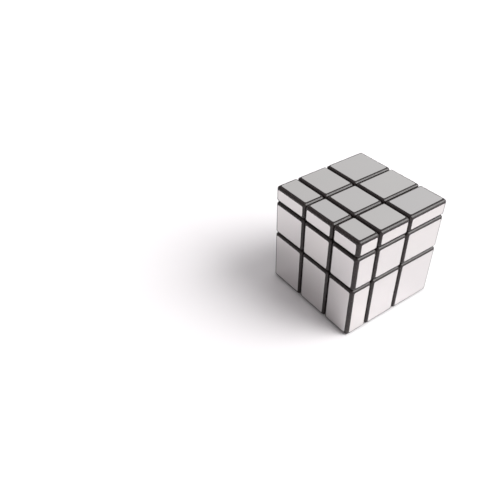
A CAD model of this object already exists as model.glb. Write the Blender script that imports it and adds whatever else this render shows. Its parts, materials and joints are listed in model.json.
import json
import math
import random

import bmesh
import bpy
from mathutils import Matrix, Vector


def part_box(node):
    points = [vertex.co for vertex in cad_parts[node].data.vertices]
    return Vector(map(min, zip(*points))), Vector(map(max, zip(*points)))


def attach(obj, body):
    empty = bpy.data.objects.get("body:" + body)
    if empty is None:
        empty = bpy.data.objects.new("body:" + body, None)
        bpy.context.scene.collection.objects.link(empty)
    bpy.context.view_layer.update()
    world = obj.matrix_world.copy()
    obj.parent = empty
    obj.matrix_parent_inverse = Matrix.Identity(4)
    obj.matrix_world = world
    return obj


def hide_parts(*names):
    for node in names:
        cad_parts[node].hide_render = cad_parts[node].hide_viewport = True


# The looks of a mirror block cube: finer blocks, films and hardware in the frame's places, with the light and
# the camera round them. Lengths are in metres.
MM = 0.001
WELD = 0.0001 * MM  # points nearer than this are one

# ---- Camera, from the middle of the cube ----
CUBE_MIDDLE = Vector((0, 0, 28.5 * MM))
VIEW_AZIMUTH = math.radians(54.9)
VIEW_ELEVATION = math.radians(38.88)
VIEW_ROLL = math.radians(-0.74)
VIEW_DISTANCE = 277.6 * MM
VIEW_ASIDE = -52.6 * MM
VIEW_RAISED = -5.35 * MM
LENS_MM = 39.5
SENSOR_MM = 36

# ---- Light: a pale room, a hazy horizon, and one large soft window at the back right ----
FLOOR_HALF = 6.0
ROOM_WAY = Vector((0.12, 0.98, 0.15)).normalized()
ROOM_DIM = (0.240, 0.215, 0.225, 1)
ROOM_BRIGHT = (0.88, 0.89, 0.89, 1)
HAZE_GLOW = (0.85, 0.85, 0.85, 1)
HAZE_TOP = math.radians(20)
WINDOW_AZIMUTH = math.radians(42)
WINDOW_ELEVATION = math.radians(41)
WINDOW_INNER = math.radians(15)
WINDOW_OUTER = math.radians(31)
WINDOW_GLOW = (7.6, 7.6, 7.6, 1)

# ---- Blocks: walls, caps and plugs as the frame has them, and edges rounded off up to the films ----
EDGE_ROUND = 1.5 * MM
ROUND_STEPS = 6
WALL = 1.3 * MM
SPLIT_BALL = 18.05 * MM  # a block is open inside this ball, where its foot begins
LAYER_FACE = 9.65 * MM  # an outer layer's inner face, from the turning centre
PEG = 4.5 * MM  # how far a corner's peg goes on from there
PLUG_PLAY = 0.05 * MM
CAP_THICKNESS = 1.6 * MM
CAP_BLANK = 3 * CAP_THICKNESS  # the rounded block that a cap's plate is the outer part of
SKIRT_CUT = 0.02 * MM  # how far under its plate a cap's skirt is cut off
SKIRT_OVERLAP = 0.3 * MM  # and how far it then reaches back up, into the plate

# ---- Mirror films ----
FILM_CORNER = 0.8 * MM
FILM_RIM = 0.28 * MM
FILM_RIM_DROP = 0.035 * MM
FILM_TRIM = 0.10 * MM  # what is cut off each side of the frame's film
FILM_MESH_STEP = 0.9 * MM
FILM_TILT = 0.035 * MM  # the most that a film rises from its middle to a rim
FILM_TILT_MOST = 0.042 * MM  # and to a corner
FILM_CROWN = 0.018 * MM  # the most that its middle stands up
FILM_HOLLOW = 0.0072 * MM  # or lies low
FILM_RIPPLE = 0.004 * MM
FILM_RIPPLE_LENGTH = 9 * MM
FILM_SLOT, CUT_EDGE_SLOT = 0, 1

# ---- Screws, washers and springs: distances from the turning centre, and radii ----
SCREW_TIP = 2.5 * MM
THREAD_END = 8.0 * MM
THREAD_RINGS = 8  # in each turn
THREAD_PITCH = 0.5 * MM
THREAD_ROOT = 1.22 * MM
SHANK = 1.5 * MM
NECK = 1.42 * MM
NECK_START = 8.3 * MM
HEAD_UNDER = 14.0 * MM
HEAD_HEIGHT = 1.7 * MM
HEAD_UPRIGHT = 0.42 * HEAD_HEIGHT
HEAD = 2.8 * MM
HEAD_BEVEL = 0.15 * MM
RECESS_DEPTH = 1.05 * MM
RECESS_LONG = 1.54 * MM
RECESS_WIDE = 0.36 * MM
WASHER_TOP = 13.95 * MM
WASHER_THICKNESS = 0.4 * MM
WASHER_OUTER = 3.2 * MM
WASHER_INNER = 1.6 * MM
WASHER_CHAMFER = 0.07 * MM
SPRING_LOW = 9.45 * MM
SPRING_HIGH = 13.5 * MM
SPRING_RADIUS = 2.45 * MM
SPRING_WIRE = 0.25 * MM
SPRING_OPEN_TURNS = 3

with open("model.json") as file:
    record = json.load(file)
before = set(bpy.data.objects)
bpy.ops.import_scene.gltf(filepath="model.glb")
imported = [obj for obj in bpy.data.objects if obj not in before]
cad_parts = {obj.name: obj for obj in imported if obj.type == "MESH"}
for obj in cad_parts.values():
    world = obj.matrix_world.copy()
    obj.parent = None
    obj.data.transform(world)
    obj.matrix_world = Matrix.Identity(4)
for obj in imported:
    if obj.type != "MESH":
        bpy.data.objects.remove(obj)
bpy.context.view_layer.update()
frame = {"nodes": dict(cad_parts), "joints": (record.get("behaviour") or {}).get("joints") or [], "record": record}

leaders = [joint for joint in frame["joints"] if joint["name"].endswith("_turn")]
TURNING_CENTRE = Vector(leaders[0]["pos_m"])


# ---- Materials ----

NOISE_SPAN = 0.3, 0.7  # where most of a noise texture's values lie


class Finish:
    """A material while it is made: one Principled shader, and the nodes that drive it."""

    def __init__(self, name, **values):
        self.material = bpy.data.materials.new(name)
        self.material.use_nodes = True
        self.tree = self.material.node_tree
        self.shader = self.tree.nodes["Principled BSDF"]
        coordinates = self.tree.nodes.new("ShaderNodeTexCoord")
        self.position, self.normal = coordinates.outputs["Object"], coordinates.outputs["Normal"]
        for socket, value in values.items():
            self.shader.inputs[socket].default_value = value

    def add(self, kind, inputs, **settings):
        """A new node. inputs sets its sockets, by a link where the value is a socket."""
        node = self.tree.nodes.new(kind)
        for setting, value in settings.items():
            setattr(node, setting, value)
        for socket, value in inputs.items():
            if isinstance(value, bpy.types.NodeSocket):
                self.tree.links.new(value, node.inputs[socket])
            else:
                node.inputs[socket].default_value = value
        return node

    def drive(self, socket, value):
        self.tree.links.new(value, self.shader.inputs[socket])

    def noise(self, grain, detail=2.0, stretch=(1, 1, 1)):
        """Cloudy noise from 0 to 1 whose patches are about grain across."""
        stretched = self.add("ShaderNodeMapping", {"Vector": self.position, "Scale": stretch})
        inputs = {"Vector": stretched.outputs[0], "Scale": 1 / grain, "Detail": detail}
        return self.add("ShaderNodeTexNoise", inputs).outputs[0]

    def remap(self, value, span, new_span=(0.0, 1.0)):
        """value taken from one span to the same place in another, and held inside it."""
        inputs = {"Value": value, "From Min": span[0], "From Max": span[1],
                  "To Min": new_span[0], "To Max": new_span[1]}
        return self.add("ShaderNodeMapRange", inputs).outputs[0]

    def maths(self, operation, a, b):
        return self.add("ShaderNodeMath", {0: a, 1: b}, operation=operation).outputs[0]

    def blend(self, share, a, b):
        """Colour a where share is 0, and b where it is 1."""
        return self.add("ShaderNodeMix", {0: share, 6: a, 7: b}, data_type="RGBA").outputs[2]

    def rounding(self):
        """1 in the middle of a rounded edge of a block, and 0 on its flat faces."""
        flat, rounded = 0.99, 0.75
        size = self.add("ShaderNodeVectorMath", {0: self.normal}, operation="ABSOLUTE").outputs[0]
        x, y, z = self.add("ShaderNodeSeparateXYZ", {0: size}).outputs
        largest = self.maths("MAXIMUM", self.maths("MAXIMUM", x, y), z)
        return self.remap(largest, (flat, rounded))

    def bump(self, *layers):
        """Bumps the surface. Each layer is a height from 0 to 1 and its depth in metres."""
        normal = None
        for height, depth in layers:
            inputs = {"Height": height, "Distance": depth, "Strength": 1.0}
            if normal is not None:
                inputs["Normal"] = normal
            normal = self.add("ShaderNodeBump", inputs).outputs[0]
        self.drive("Normal", normal)


def moulded_black():
    """Satin black-brown plastic: cloudy, polished and a little lighter where its edges are handled."""
    dark, light, worn = (0.0125, 0.0083, 0.0084, 1), (0.0190, 0.0138, 0.0132, 1), (0.075, 0.066, 0.060, 1)
    worn_share, worn_polish = 0.5, 0.05
    f = Finish("moulded_black", IOR=1.40)
    body = f.blend(f.remap(f.noise(9 * MM, detail=4.0), NOISE_SPAN), dark, light)
    chips = f.remap(f.noise(0.7 * MM, detail=3.0), (0.52, 0.68))
    wear = f.maths("MULTIPLY", f.rounding(), chips)
    f.drive("Base Color", f.blend(f.maths("MULTIPLY", wear, worn_share), body, worn))
    satin = f.remap(f.noise(3.5 * MM, detail=3.0), NOISE_SPAN, (0.17, 0.29))
    f.drive("Roughness", f.maths("SUBTRACT", satin, f.maths("MULTIPLY", wear, worn_polish)))
    waviness, grain = f.noise(6 * MM, detail=1.0), f.noise(0.12 * MM)
    f.bump((waviness, 0.02 * MM), (grain, 0.0012 * MM))
    return f.material


def mirror_film():
    """Metallised film: each piece with its own slight tint, a haze of handling, and a faint orange peel."""
    cool, warm, handled = (0.675, 0.655, 0.655, 1), (0.692, 0.670, 0.660, 1), (0.655, 0.645, 0.640, 1)
    f = Finish("mirror_film", Metallic=1.0)
    tint = f.add("ShaderNodeAttribute", {}, attribute_name="film_tint").outputs["Fac"]
    touched = f.remap(f.noise(14 * MM), (0.35, 0.75), (0.0, 0.35))
    f.drive("Base Color", f.blend(touched, f.blend(tint, cool, warm), handled))
    haze = f.remap(f.noise(5 * MM, detail=5.0), (0.45, 0.75), (0.015, 0.06))
    scuffs = f.remap(f.noise(0.25 * MM, stretch=(1, 0.06, 0.06)), (0.66, 0.75), (0.0, 0.06))
    f.drive("Roughness", f.maths("ADD", haze, scuffs))
    waviness, orange_peel = f.noise(4 * MM, detail=1.0), f.noise(0.5 * MM, detail=1.0)
    f.bump((waviness, 0.0025 * MM), (orange_peel, 0.0001 * MM))
    return f.material


def film_edge():
    """The cut edge of the film, where its clear carrier and glue show grey."""
    dark, light = (0.025, 0.025, 0.025, 1), (0.060, 0.060, 0.060, 1)
    f = Finish("film_edge", Roughness=0.45)
    f.drive("Base Color", f.blend(f.noise(0.6 * MM), dark, light))
    return f.material


def zinc_steel():
    """Zinc-plated steel: a fine grain, and duller patches."""
    dull, bright = (0.50, 0.51, 0.53, 1), (0.68, 0.68, 0.69, 1)
    f = Finish("zinc_steel", Metallic=1.0)
    patches = f.noise(1.2 * MM, detail=4.0)
    f.drive("Base Color", f.blend(patches, dull, bright))
    f.drive("Roughness", f.remap(patches, NOISE_SPAN, (0.22, 0.42)))
    f.bump((f.noise(0.15 * MM), 0.002 * MM))
    return f.material


def moulded_white():
    """Ivory nylon of the core: matt, cloudy, with a fine moulded grain."""
    dark, light = (0.74, 0.72, 0.67, 1), (0.84, 0.82, 0.78, 1)
    f = Finish("moulded_white", IOR=1.53)
    f.drive("Base Color", f.blend(f.noise(4 * MM, detail=4.0), dark, light))
    f.drive("Roughness", f.remap(f.noise(1.5 * MM, detail=3.0), NOISE_SPAN, (0.42, 0.58)))
    f.bump((f.noise(0.15 * MM), 0.003 * MM))
    return f.material


BLACK, FILM, CUT_EDGE, STEEL, WHITE = (
    moulded_black(), mirror_film(), film_edge(), zinc_steel(), moulded_white())


# ---- Meshes ----

def new_object(name, mesh, *materials):
    piece = bpy.data.objects.new(name, mesh)
    bpy.context.scene.collection.objects.link(piece)
    for material in materials:
        mesh.materials.append(material)
    return piece


def finished(mesh, sharp_angle=35):
    """The bmesh as a mesh that is smooth but for its sharp edges, with its flat faces kept flat."""
    bmesh.ops.recalc_face_normals(mesh, faces=mesh.faces)
    data = bpy.data.meshes.new("made")
    mesh.to_mesh(data)
    mesh.free()
    data.shade_smooth()
    data.set_sharp_from_angle(angle=math.radians(sharp_angle))
    piece = new_object("made", data)
    weighted = piece.modifiers.new("flat_faces", "WEIGHTED_NORMAL")
    weighted.keep_sharp = True
    weighted.weight = 100
    return taken_from(piece)


def taken_from(piece):
    """The mesh of a helper object with its modifiers applied. The object is removed."""
    graph = bpy.context.evaluated_depsgraph_get()
    shape = piece.evaluated_get(graph)
    mesh = bpy.data.meshes.new_from_object(shape, preserve_all_data_layers=True, depsgraph=graph)
    bpy.data.objects.remove(piece)
    return mesh


def combined(operation, outer, tools):
    """The bmesh outer less the bmeshes tools, or joined to them, by exact booleans."""
    objects = []
    for part in [outer, *tools]:
        data = bpy.data.meshes.new("part")
        part.to_mesh(data)
        part.free()
        objects.append(new_object("part", data))
    for tool in objects[1:]:
        step = objects[0].modifiers.new("step", "BOOLEAN")
        step.operation = operation
        step.solver = "EXACT"
        step.object = tool
    result = bmesh.new()
    result.from_mesh(taken_from(objects[0]))
    for tool in objects[1:]:
        bpy.data.objects.remove(tool)
    return result


def connected(start):
    """All vertices that edges join to a vertex, with itself."""
    found, todo = {start}, [start]
    while todo:
        for edge in todo.pop().link_edges:
            fresh = [vertex for vertex in edge.verts if vertex not in found]
            found.update(fresh)
            todo += fresh
    return found


def solids_of(node):
    """A node's separate solids, each with its box as (low, high, bmesh), the furthest out first."""
    whole = bmesh.new()
    whole.from_mesh(frame["nodes"][node].data)
    bmesh.ops.remove_doubles(whole, verts=whole.verts, dist=WELD)
    whole.verts.index_update()
    seen, solids = set(), []
    for start in whole.verts:
        if start in seen:
            continue
        solid = connected(start)
        seen |= solid
        kept = {v.index for v in solid}
        part = whole.copy()
        bmesh.ops.delete(part, geom=[v for v in part.verts if v.index not in kept], context="VERTS")
        low = Vector([min(v.co[k] for v in solid) for k in range(3)])
        high = Vector([max(v.co[k] for v in solid) for k in range(3)])
        solids.append((low, high, part))
    whole.free()
    return sorted(solids, key=reach, reverse=True)


def reach(solid):
    """How far the box of a solid reaches from the turning centre."""
    low, high, _ = solid
    return Vector([max(high[k] - TURNING_CENTRE[k], TURNING_CENTRE[k] - low[k]) for k in range(3)]).length


def box(low, high):
    mesh = bmesh.new()
    bmesh.ops.create_cube(mesh, size=1.0)
    size, middle = high - low, (low + high) / 2
    for vertex in mesh.verts:
        vertex.co = Vector([middle[k] + vertex.co[k] * size[k] for k in range(3)])
    return mesh


def rounded_block(low, high):
    """A block whose edges and corners are rounded, the corners as parts of a ball."""
    mesh = box(low, high)
    bmesh.ops.bevel(mesh, geom=mesh.edges[:], offset=EDGE_ROUND, segments=ROUND_STEPS, profile=0.5,
                    affect="EDGES")
    return mesh


def ball(radius):
    mesh = bmesh.new()
    bmesh.ops.create_uvsphere(mesh, u_segments=96, v_segments=48, radius=radius)
    bmesh.ops.translate(mesh, verts=mesh.verts, vec=TURNING_CENTRE)
    return mesh


def joined(*parts):
    """Several bmeshes as one, which the first becomes."""
    for part in parts[1:]:
        data = bpy.data.meshes.new("part")
        part.to_mesh(data)
        part.free()
        parts[0].from_mesh(data)
        bpy.data.meshes.remove(data)
    return parts[0]


# ---- Blocks ----

def hollow_block(node):
    """An edge or corner: its block made new with ball-shaped corners, and its foot as the frame has it."""
    (low, high, shell), (_, _, foot) = solids_of(node)
    shell.free()
    inset = Vector((WALL, WALL, WALL))
    tools = [box(low + inset, high - inset), ball(SPLIT_BALL)]
    if node.startswith("corner"):
        near, far = LAYER_FACE - PLUG_PLAY, LAYER_FACE + PEG + PLUG_PLAY
        ways = [1 if low[k] + high[k] > 2 * TURNING_CENTRE[k] else -1 for k in range(3)]
        ends = [sorted((w * near, w * far)) for w in ways]
        peg_low, peg_high = (Vector([e[i] for e in ends]) for i in (0, 1))
        tools.append(box(TURNING_CENTRE + peg_low, TURNING_CENTRE + peg_high))
    block = combined("DIFFERENCE", rounded_block(low, high), tools)
    return finished(joined(block, foot))


def cap_block(node, axis, side):
    """A centre's cap: its plate made new with ball-shaped corners, and its skirt as the frame has it."""
    low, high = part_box(node)
    outside = high[axis] if side > 0 else low[axis]
    away = Vector([side if k == axis else 0 for k in range(3)])
    plate_under = Vector([outside - side * CAP_THICKNESS if k == axis else 0 for k in range(3)])

    ends = sorted((outside, outside - side * CAP_BLANK))
    blank_low = Vector([ends[0] if k == axis else low[k] for k in range(3)])
    blank_high = Vector([ends[1] if k == axis else high[k] for k in range(3)])
    plate = rounded_block(blank_low, blank_high)
    closed_half(plate, plate_under, away, 0)
    _, _, skirt = solids_of(node)[0]
    closed_half(skirt, plate_under - away * SKIRT_CUT, -away, SKIRT_OVERLAP)
    return finished(combined("UNION", plate, [skirt]))


def closed_half(mesh, point, kept_side, overlap):
    """Cuts a bmesh at a plane, keeps one side, stretches it past the cut by overlap, and closes it."""
    everything = mesh.verts[:] + mesh.edges[:] + mesh.faces[:]
    bmesh.ops.bisect_plane(mesh, geom=everything, plane_co=point, plane_no=kept_side, clear_inner=True,
                           dist=WELD)
    rim = [edge for edge in mesh.edges if edge.is_boundary]
    for vertex in {v for edge in rim for v in edge.verts}:
        vertex.co -= kept_side * overlap
    bmesh.ops.triangle_fill(mesh, edges=rim, use_beauty=True)


# ---- Mirror films ----

def film_lines(length):
    """Places of the mesh lines across a film: close together at its rims, even between."""
    near = [0, FILM_RIM * 0.25, FILM_RIM * 0.6, FILM_RIM, FILM_CORNER * 0.65, FILM_CORNER]
    span = length - 2 * FILM_CORNER
    count = max(2, round(span / FILM_MESH_STEP))
    middle = [FILM_CORNER + span * i / count for i in range(1, count)]
    return near + middle + [length - x for x in reversed(near)]


def rounded_point(x, y, size):
    """A point of the film's square outline moved into its rounded corner, and its distance from the rim."""
    centre = [min(max(c, FILM_CORNER), s - FILM_CORNER) for c, s in zip((x, y), size)]
    s, t = (x - centre[0]) / FILM_CORNER, (y - centre[1]) / FILM_CORNER
    u, v = s * math.sqrt(1 - t * t / 2), t * math.sqrt(1 - s * s / 2)
    point = centre[0] + FILM_CORNER * u, centre[1] + FILM_CORNER * v
    if s and t:
        return point, FILM_CORNER * (1 - math.hypot(u, v))
    return point, min(x, size[0] - x, y, size[1] - y)


def film_surface(size, thickness, chance):
    """The height of one film's surface, as a function of a point and its distance from the rim."""
    tilt = [chance.uniform(-FILM_TILT, FILM_TILT) for _ in range(2)]
    crown = chance.uniform(-FILM_HOLLOW, FILM_CROWN)
    phase = [chance.uniform(0, math.tau) for _ in range(2)]
    rise = abs(tilt[0]) + abs(tilt[1])
    if rise > FILM_TILT_MOST:
        tilt = [along * FILM_TILT_MOST / rise for along in tilt]
    # The highest point stays under the top of the frame's film.
    base = thickness - min(rise, FILM_TILT_MOST) - max(crown, 0) - FILM_RIPPLE
    wave = math.tau / FILM_RIPPLE_LENGTH

    def height_at(x, y, rim_distance):
        p, q = 2 * x / size[0] - 1, 2 * y / size[1] - 1
        rolled = max(0.0, 1 - rim_distance / FILM_RIM) ** 2 * FILM_RIM_DROP
        ripple = math.sin(wave * x + phase[0]) * math.sin(wave * y + phase[1]) * FILM_RIPPLE
        lean = tilt[0] * p + tilt[1] * q
        return base + lean + crown * (1 - p * p) * (1 - q * q) + ripple - rolled

    return height_at


def film_sheet(low, high, chance):
    """One film as a closed thin sheet: rounded corners, a rolled rim, a slight tilt, crown and ripple."""
    axis = min(range(3), key=lambda k: high[k] - low[k])
    one, other = [k for k in range(3) if k != axis]
    outward = 1 if low[axis] + high[axis] > 2 * TURNING_CENTRE[axis] else -1
    inside, thickness = (low if outward > 0 else high)[axis], high[axis] - low[axis]
    for k in (one, other):
        low[k] += FILM_TRIM
        high[k] -= FILM_TRIM
    size = high[one] - low[one], high[other] - low[other]
    height_at = film_surface(size, thickness, chance)
    mesh = bmesh.new()
    rows = []
    for y in film_lines(size[1]):
        row = []
        for x in film_lines(size[0]):
            (px, py), rim_distance = rounded_point(x, y, size)
            spot = [0.0] * 3
            spot[one], spot[other] = low[one] + px, low[other] + py
            spot[axis] = inside + outward * height_at(px, py, rim_distance)
            row.append(mesh.verts.new(spot))
        rows.append(row)
    for lower, upper in zip(rows, rows[1:]):
        for i in range(len(lower) - 1):
            mesh.faces.new((lower[i], lower[i + 1], upper[i + 1], upper[i])).material_index = FILM_SLOT
    close_under(mesh, rows, axis, inside)
    return mesh


def close_under(mesh, rows, axis, level):
    """Gives a grid of vertices upright sides down to a level along axis, and a flat underside."""
    rim = rows[0] + [r[-1] for r in rows[1:-1]] + rows[-1][::-1] + [r[0] for r in rows[-2:0:-1]]
    foot = []
    for v in rim:
        under = v.co.copy()
        under[axis] = level
        foot.append(mesh.verts.new(under))
    for i in range(len(rim)):
        n = (i + 1) % len(rim)
        mesh.faces.new((rim[i], rim[n], foot[n], foot[i])).material_index = CUT_EDGE_SLOT
    mesh.faces.new(foot).material_index = CUT_EDGE_SLOT


def film_set(node):
    """All films of one piece of the puzzle as one mesh, each with its own tint."""
    chance = random.Random(node)
    sheets = []
    for low, high, part in solids_of(node):
        part.free()
        sheet = film_sheet(low, high, chance)
        tint = sheet.verts.layers.float.new("film_tint")
        value = chance.random()
        for v in sheet.verts:
            v[tint] = value
        sheets.append(sheet)
    return finished(joined(*sheets), sharp_angle=32)


# ---- Screws, washers and springs, built along +Z from the turning centre ----

def turned(profile, steps, closed=False):
    """A body of revolution about Z. profile gives a list of (radius, height) for an angle."""
    mesh = bmesh.new()
    rings = []
    for i in range(steps):
        angle = math.tau * i / steps
        points = profile(angle)
        rings.append([mesh.verts.new((r * math.cos(angle), r * math.sin(angle), z)) for r, z in points])
    for i in range(steps):
        one, two = rings[i], rings[(i + 1) % steps]
        count = len(one) if closed else len(one) - 1
        for k in range(count):
            n = (k + 1) % len(one)
            mesh.faces.new((one[k], two[k], two[n], one[n]))
    bmesh.ops.remove_doubles(mesh, verts=mesh.verts, dist=WELD)
    return mesh


def thread(angle):
    """A screw's threaded part, seen at one angle: a ridge that winds round a core with a blunt point."""
    blunt, point_rings, run_out = 0.45, 12, 1 / 3
    count = round((THREAD_END - SCREW_TIP) / THREAD_PITCH * THREAD_RINGS)
    points = [(0, SCREW_TIP)]
    for i in range(count + 1):
        z = SCREW_TIP + (THREAD_END - SCREW_TIP) * i / count
        turn = (z / THREAD_PITCH - angle / math.tau) % 1
        ridge = (1 - abs(2 * turn - 1)) * min(1, (1 - i / count) / run_out)
        core = THREAD_ROOT * min(1, blunt + i / point_rings)
        points.append((core + (SHANK - THREAD_ROOT) * ridge * core / THREAD_ROOT, z))
    return points


def shank_and_head():
    """A screw's outline from its neck to the top of its domed head."""
    dome = (HEAD ** 2 + (HEAD_HEIGHT / 2) ** 2) / HEAD_HEIGHT
    dome_steps, flare = 6, 0.13 * MM
    points = [(NECK, NECK_START), (NECK, HEAD_UNDER - 0.1 * MM), (NECK + flare, HEAD_UNDER)]
    points += [(HEAD - HEAD_BEVEL, HEAD_UNDER), (HEAD, HEAD_UNDER + HEAD_BEVEL)]
    points.append((HEAD, HEAD_UNDER + HEAD_UPRIGHT))
    for i in range(1, dome_steps + 1):
        r = HEAD * math.cos(math.pi / 2 * i / dome_steps)
        points.append((r, HEAD_UNDER + HEAD_HEIGHT - dome + math.sqrt(dome ** 2 - r ** 2)))
    return points


def recess_slot(turn):
    """A slot of the screw's cross recess: shorter and narrower at its bottom, and open above the head."""
    bottom_long, bottom_wide, clear = 0.3, 0.72, 0.2 * MM
    top = HEAD_UNDER + HEAD_HEIGHT
    slot = box(Vector((-1, -1, 0)), Vector((1, 1, 1)))
    for v in slot.verts:
        above = v.co.z > 0.5
        v.co.x *= RECESS_LONG * (1 if above else bottom_long)
        v.co.y *= RECESS_WIDE * (1 if above else bottom_wide)
        v.co.z = top + clear if above else top - RECESS_DEPTH
    bmesh.ops.rotate(slot, verts=slot.verts, matrix=Matrix.Rotation(turn, 3, "Z"))
    return slot


def screw():
    """A pan-head screw: blunt point, rolled thread, plain neck, domed head with a cross recess."""
    slots = [recess_slot(turn) for turn in (0, math.pi / 2)]
    return combined("DIFFERENCE", turned(lambda angle: thread(angle) + shank_and_head(), 32), slots)


def washer():
    """A flat ring with chamfered edges."""
    low, high = WASHER_TOP - WASHER_THICKNESS, WASHER_TOP
    outline = []
    for r, z, dr, dz in ((WASHER_INNER, low, 1, 1), (WASHER_OUTER, low, -1, 1),
                         (WASHER_OUTER, high, -1, -1), (WASHER_INNER, high, 1, -1)):
        corner = [(r + dr * WASHER_CHAMFER, z), (r, z + dz * WASHER_CHAMFER)]
        outline += corner[::-1] if dr * dz > 0 else corner
    return turned(lambda angle: outline, 64, closed=True)


def spring():
    """A compression spring of round wire, with a closed and ground turn at each end."""
    steps, sides = 32, 14
    closed_rise = 2.05 * SPRING_WIRE
    end_height = 0.6 * SPRING_WIRE
    start, end = SPRING_LOW + end_height, SPRING_HIGH - end_height
    open_rise = (end - start - 2 * closed_rise) / SPRING_OPEN_TURNS
    mesh = bmesh.new()
    rings = []
    for i in range(steps * (SPRING_OPEN_TURNS + 2) + 1):
        t = i / steps
        rise = min(t, 1) * closed_rise
        rise += min(max(t - 1, 0), SPRING_OPEN_TURNS) * open_rise
        rise += max(t - 1 - SPRING_OPEN_TURNS, 0) * closed_rise
        ring = []
        for k in range(sides):
            w = math.tau * k / sides
            r = SPRING_RADIUS + SPRING_WIRE * math.cos(w)
            z = min(max(start + rise + SPRING_WIRE * math.sin(w), SPRING_LOW), SPRING_HIGH)
            ring.append(mesh.verts.new((r * math.cos(math.tau * t), r * math.sin(math.tau * t), z)))
        rings.append(ring)
    for one, two in zip(rings, rings[1:]):
        for k in range(sides):
            n = (k + 1) % sides
            mesh.faces.new((one[k], one[n], two[n], two[k]))
    mesh.faces.new(rings[0])
    mesh.faces.new(rings[-1][::-1])
    return mesh


def pointed(mesh, axis):
    """Turns a bmesh built along +Z from the origin so that it points along axis from the turning centre."""
    turn = Vector((0, 0, 1)).rotation_difference(Vector(axis)).to_matrix().to_4x4()
    bmesh.ops.transform(mesh, verts=mesh.verts, matrix=Matrix.Translation(TURNING_CENTRE) @ turn)
    return mesh


# ---- Pieces on their bodies ----

def place(name, mesh, body, node, slot, *materials):
    """A finished piece: on its body, in place of its CAD node, and with its slot."""
    piece = new_object(name, mesh, *materials)
    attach(piece, body)
    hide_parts(node)


def repaint(node, material):
    for slot in frame["nodes"][node].material_slots:
        slot.link = "OBJECT"
        slot.material = material


for body, nodes in frame["record"]["behaviour"]["bodies"].items():
    for node in nodes:
        kind = node.split("_")[0]
        if kind in ("edge", "corner"):
            place(node + "_block", hollow_block(node), body, node, "black_plastic", BLACK)
        elif kind in ("mirror", "mirrors"):
            place(node + "_film", film_set(node), body, node, "mirror_film", FILM, CUT_EDGE)
        elif kind == "centre":
            repaint(node, BLACK)
        elif kind == "core":
            repaint(node, WHITE)

for joint in leaders:
    face = joint["name"].removesuffix("_turn")
    axis = max(range(3), key=lambda k: abs(joint["axis"][k]))
    side = round(joint["axis"][axis])
    cap = "cap_" + face
    place(cap + "_plate", cap_block(cap, axis, side), "centre_" + face, cap, "black_plastic", BLACK)
    for name, make, sharp in (("screw_", screw, 30), ("washer_", washer, 30), ("spring_", spring, 40)):
        mesh = finished(pointed(make(), joint["axis"]), sharp)
        place(name + face, mesh, "core", "screws_washers_springs", "steel", STEEL)


# ---- Floor, light and camera ----

def floor():
    mesh = bmesh.new()
    bmesh.ops.create_grid(mesh, x_segments=8, y_segments=8, size=FLOOR_HALF)
    data = bpy.data.meshes.new("floor")
    mesh.to_mesh(data)
    mesh.free()
    dark, light = (0.775, 0.752, 0.762, 1), (0.790, 0.770, 0.780, 1)
    f = Finish("white_table", Roughness=0.7)
    f.drive("Base Color", f.blend(f.noise(400 * MM, detail=3.0), dark, light))
    piece = new_object("floor", data, f.material)


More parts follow.
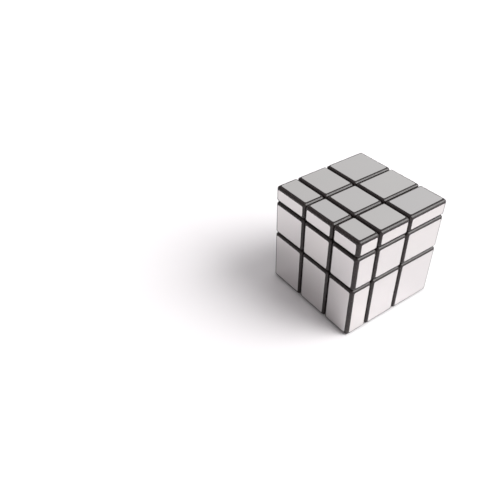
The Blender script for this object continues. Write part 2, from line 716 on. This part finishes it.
def soft_world():
    """A pale room, a hazy horizon, and a soft-edged window that throws the one shadow."""
    world = bpy.data.worlds.new("studio")
    bpy.context.scene.world = world
    world.use_nodes = True
    tree = world.node_tree
    way = tree.nodes.new("ShaderNodeTexCoord").outputs["Generated"]
    window_way = Vector((math.cos(WINDOW_ELEVATION) * math.cos(WINDOW_AZIMUTH),
                         math.cos(WINDOW_ELEVATION) * math.sin(WINDOW_AZIMUTH),
                         math.sin(WINDOW_ELEVATION)))
    window_edge = math.cos(WINDOW_OUTER), math.cos(WINDOW_INNER)
    haze_edge = math.sin(HAZE_TOP), 0
    dark = (0, 0, 0, 1)
    sources = ((ROOM_WAY, (-1, 1), "LINEAR", ROOM_DIM, ROOM_BRIGHT),
               ((0, 0, 1), haze_edge, "SMOOTHSTEP", dark, HAZE_GLOW),
               (window_way, window_edge, "SMOOTHSTEP", dark, WINDOW_GLOW))
    tree.nodes["Background"].inputs["Strength"].default_value = 0
    light = tree.nodes["Background"].outputs[0]
    for towards, span, edge, far_colour, near_colour in sources:
        nearness = tree.nodes.new("ShaderNodeVectorMath")
        nearness.operation = "DOT_PRODUCT"
        nearness.inputs[1].default_value = towards
        tree.links.new(way, nearness.inputs[0])
        share = tree.nodes.new("ShaderNodeMapRange")
        share.interpolation_type = edge
        share.inputs["From Min"].default_value, share.inputs["From Max"].default_value = span
        tree.links.new(nearness.outputs["Value"], share.inputs["Value"])
        colour = tree.nodes.new("ShaderNodeMix")
        colour.data_type = "RGBA"
        colour.inputs[6].default_value, colour.inputs[7].default_value = far_colour, near_colour
        tree.links.new(share.outputs[0], colour.inputs[0])
        background = tree.nodes.new("ShaderNodeBackground")
        tree.links.new(colour.outputs[2], background.inputs["Color"])
        both = tree.nodes.new("ShaderNodeAddShader")
        tree.links.new(light, both.inputs[0])
        tree.links.new(background.outputs[0], both.inputs[1])
        light = both.outputs[0]
    tree.links.new(light, tree.nodes["World Output"].inputs["Surface"])


def camera():
    away = Vector((math.sin(VIEW_AZIMUTH) * math.cos(VIEW_ELEVATION),
                   -math.cos(VIEW_AZIMUTH) * math.cos(VIEW_ELEVATION),
                   math.sin(VIEW_ELEVATION)))
    level = Vector((0, 0, 1)).cross(away).normalized()
    upright = away.cross(level)
    roll = Matrix.Rotation(VIEW_ROLL, 3, away)
    right, up = roll @ level, roll @ upright
    data = bpy.data.cameras.new("camera")
    data.lens = LENS_MM
    data.sensor_width = SENSOR_MM
    data.clip_start = 0.01
    data.clip_end = 30
    piece = bpy.data.objects.new("camera", data)
    bpy.context.scene.collection.objects.link(piece)
    stand = CUBE_MIDDLE + away * VIEW_DISTANCE + right * VIEW_ASIDE + up * VIEW_RAISED
    turn = Matrix((right, up, away)).transposed().to_4x4()
    piece.matrix_world = Matrix.Translation(stand) @ turn
    bpy.context.scene.camera = piece


floor()
soft_world()
camera()
bpy.context.scene.view_settings.view_transform = "Standard"
